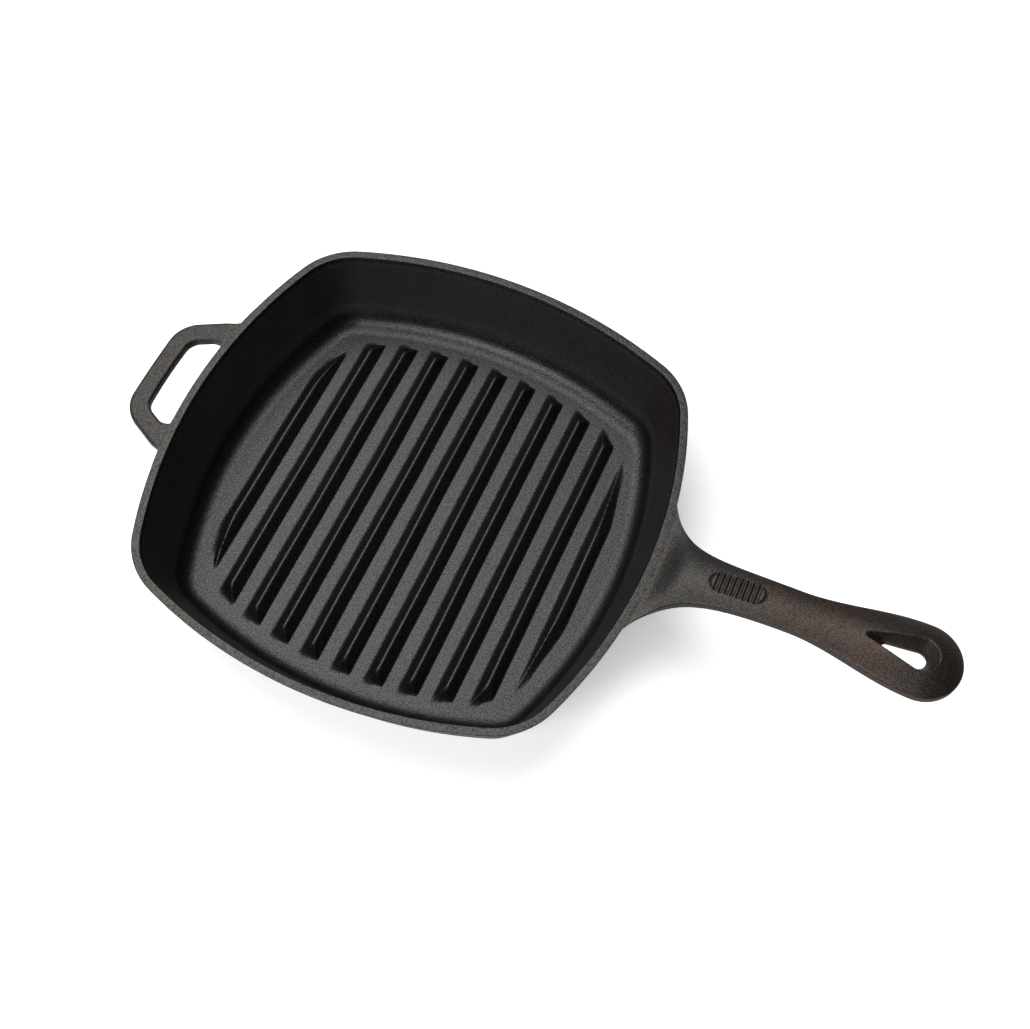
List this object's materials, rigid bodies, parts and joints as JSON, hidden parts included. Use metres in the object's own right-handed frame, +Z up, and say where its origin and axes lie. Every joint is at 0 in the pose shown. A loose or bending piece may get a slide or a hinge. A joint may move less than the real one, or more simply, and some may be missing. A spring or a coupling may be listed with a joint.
{
  "type": "grill pan",
  "caption": "Square cast-iron grill pan with raised grill ribs, a long handle with a hanging hole and a short helper handle.",
  "frame": {"origin": "middle of the flat underside that the pan stands on, under the centre of the square body", "axes": "+X along the long handle, away from the pan; +Y along the grill ribs; +Z up"},
  "size_m": [0.4381, 0.26, 0.0707],
  "materials": {
    "cast_iron_floor": "seasoned, fine cast grain",
    "cast_iron_wall": "seasoned, fine cast grain",
    "cast_iron_handles": "seasoned, fine cast grain, faint brown bloom"
  },
  "bodies": {
    "root": {"base_plate": "cast_iron_floor", "grill_rib_01": "cast_iron_floor", "grill_rib_02": "cast_iron_floor", "grill_rib_03": "cast_iron_floor", "grill_rib_04": "cast_iron_floor", "grill_rib_05": "cast_iron_floor", "grill_rib_06": "cast_iron_floor", "grill_rib_07": "cast_iron_floor", "grill_rib_08": "cast_iron_floor", "grill_rib_09": "cast_iron_floor", "grill_rib_10": "cast_iron_floor", "grill_rib_11": "cast_iron_floor", "side_wall": "cast_iron_wall", "rim": "cast_iron_wall", "helper_handle": "cast_iron_handles", "main_handle": "cast_iron_handles", "thumb_rest": "cast_iron_handles"}
  },
  "joints": []
}
